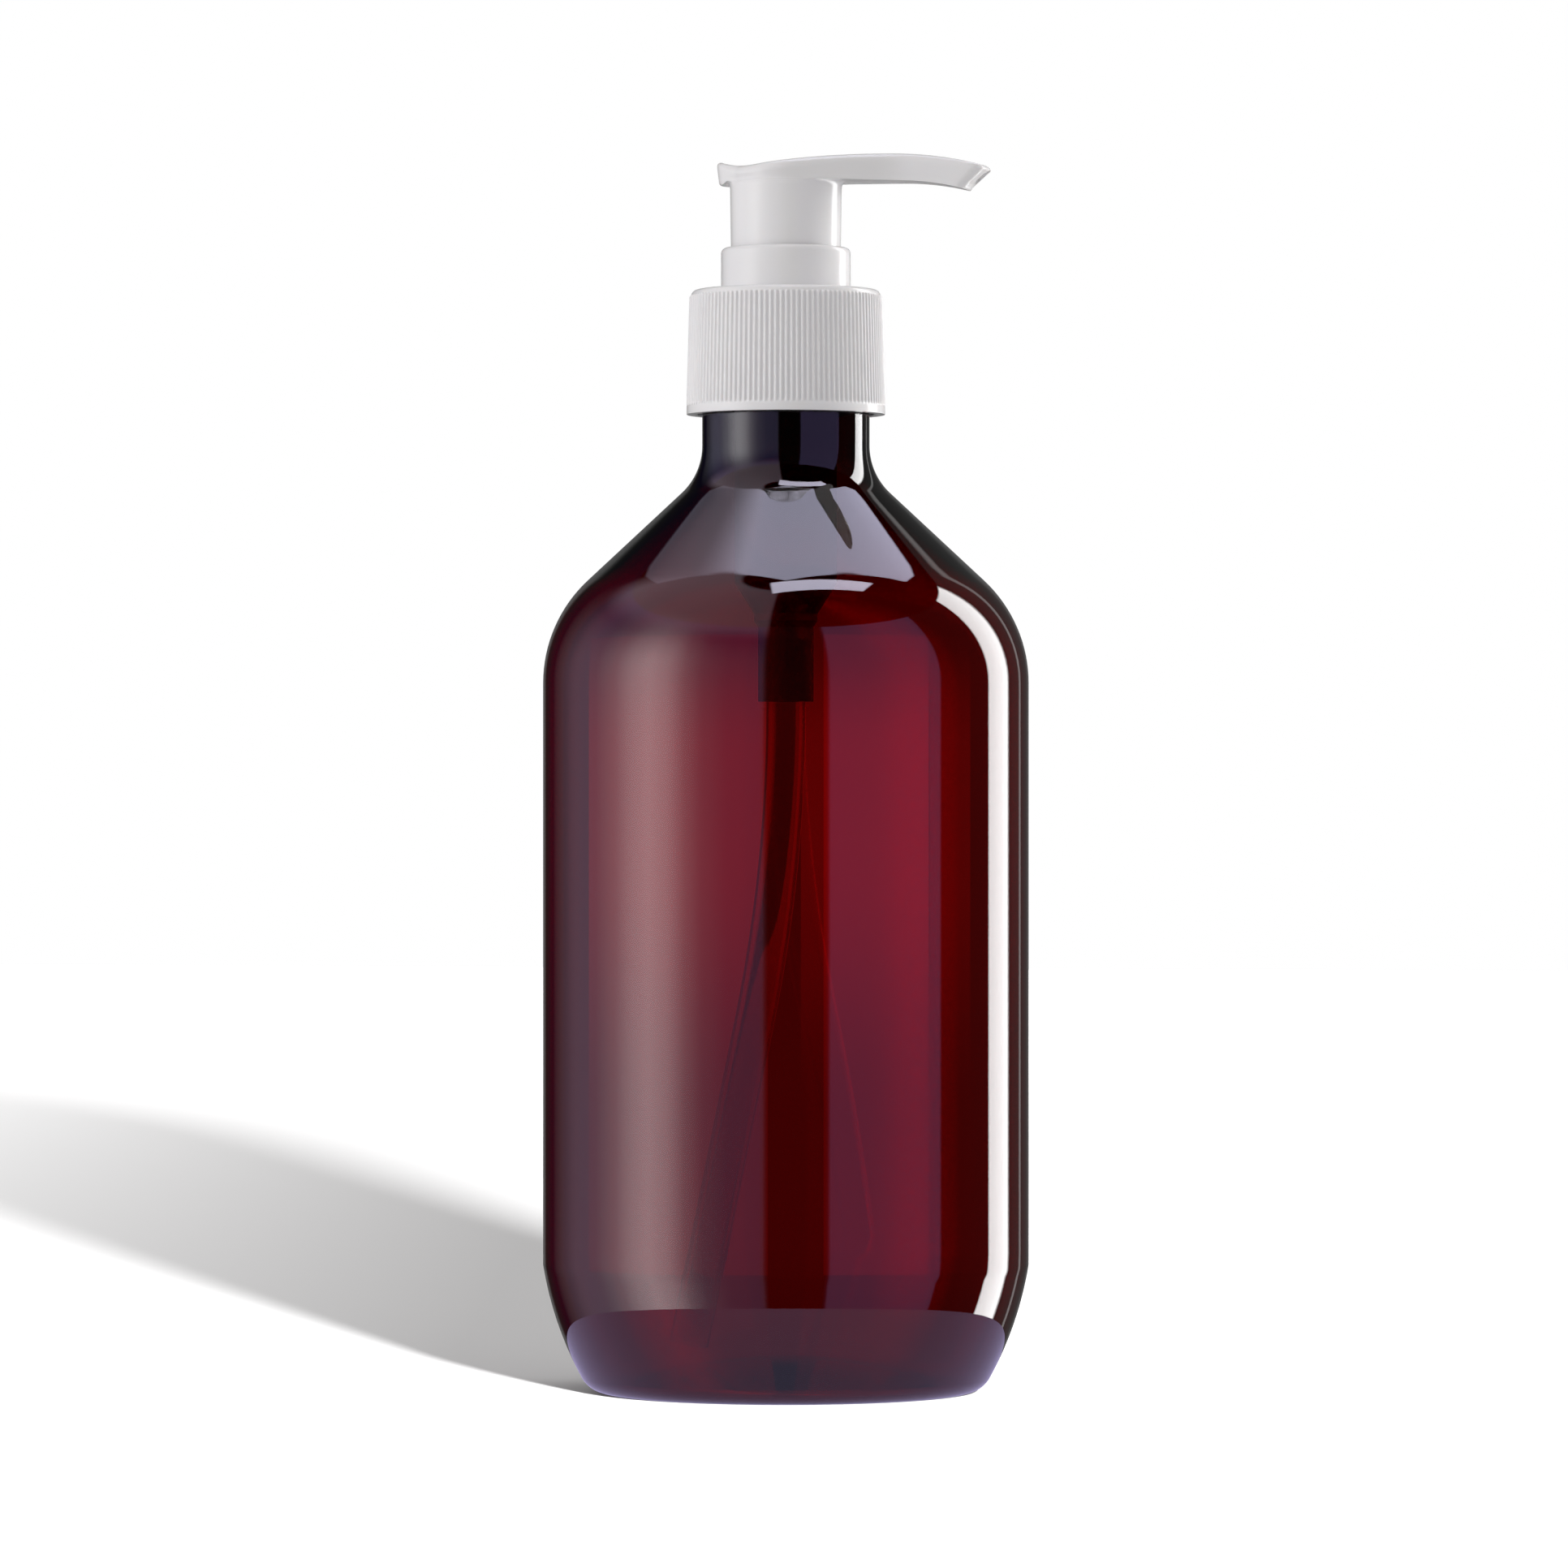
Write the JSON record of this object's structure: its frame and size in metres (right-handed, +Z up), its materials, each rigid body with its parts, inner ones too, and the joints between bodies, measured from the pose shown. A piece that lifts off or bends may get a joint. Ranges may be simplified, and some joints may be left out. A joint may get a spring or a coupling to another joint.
{
  "type": "soap pump dispenser",
  "caption": "Clear tinted round bottle with a conical shoulder and a white screw-on lotion pump: ribbed closure, smooth lock collar and a saddle-topped head with a short drooping spout.",
  "frame": {"origin": "centre of the ring that the bottle stands on, on the bottle's axis", "axes": "+Z up the bottle's axis, +X the way the spout points at rest"},
  "size_m": [0.076, 0.076, 0.1933],
  "materials": {
    "bottle_red": "clear deep-red tinted PET, glossy",
    "pump_white": "white moulded polypropylene, satin",
    "gasket_foam": "white expanded polythene",
    "housing_natural": "natural translucent polypropylene",
    "seal_polythene": "natural low-density polythene",
    "inner_white": "white moulded polypropylene",
    "spring_steel": "drawn stainless wire",
    "ball_glass": "polished soda glass",
    "tube_clear": "translucent extruded polythene"
  },
  "bodies": {
    "bottle": {"bottle": "bottle_red"},
    "pump_body": {"pump_housing": "housing_natural", "lock_collar": "pump_white", "neck_gasket": "gasket_foam", "stem_seal": "seal_polythene", "ball_retainer": "inner_white", "spring": "spring_steel", "dip_tube": "tube_clear"},
    "closure": {"closure": "pump_white"},
    "inlet_ball": {"inlet_ball": "ball_glass"},
    "piston": {"piston": "seal_polythene"},
    "plunger": {"actuator_head": "pump_white", "stem": "inner_white", "piston_core": "inner_white"},
    "outlet_ball": {"outlet_ball": "ball_glass"}
  },
  "joints": [
    {"name": "pump_lift", "type": "slide", "parent": "bottle", "child": "pump_body", "axis": [0, 0, 1], "range_m": [0, 0.00635]},
    {"name": "closure_turn", "type": "hinge", "parent": "pump_body", "child": "closure", "pos_m": [0, 0, 0.1629], "axis": [0, 0, 1], "range_deg": [0, 540]},
    {"name": "inlet_ball_lift", "type": "slide", "parent": "pump_body", "child": "inlet_ball", "axis": [0, 0, 1], "range_m": [0, 0.0012]},
    {"name": "head_press", "type": "slide", "parent": "pump_body", "child": "piston", "axis": [0, 0, -1], "range_m": [0, 0.0085], "stiffness_N_per_m": 1200, "springref_m": -0.006, "deforming": ["spring"]},
    {"name": "head_turn", "type": "hinge", "parent": "piston", "child": "plunger", "pos_m": [0, 0, 0.1535], "axis": [0, 0, 1], "range_deg": [0, 80]},
    {"name": "outlet_ball_lift", "type": "slide", "parent": "plunger", "child": "outlet_ball", "axis": [0, 0, 1], "range_m": [0, 0.0012]}
  ],
  "couplings": [
    {"joint": "pump_lift", "follows": "closure_turn", "m_per_rad": 0.0006737}
  ]
}
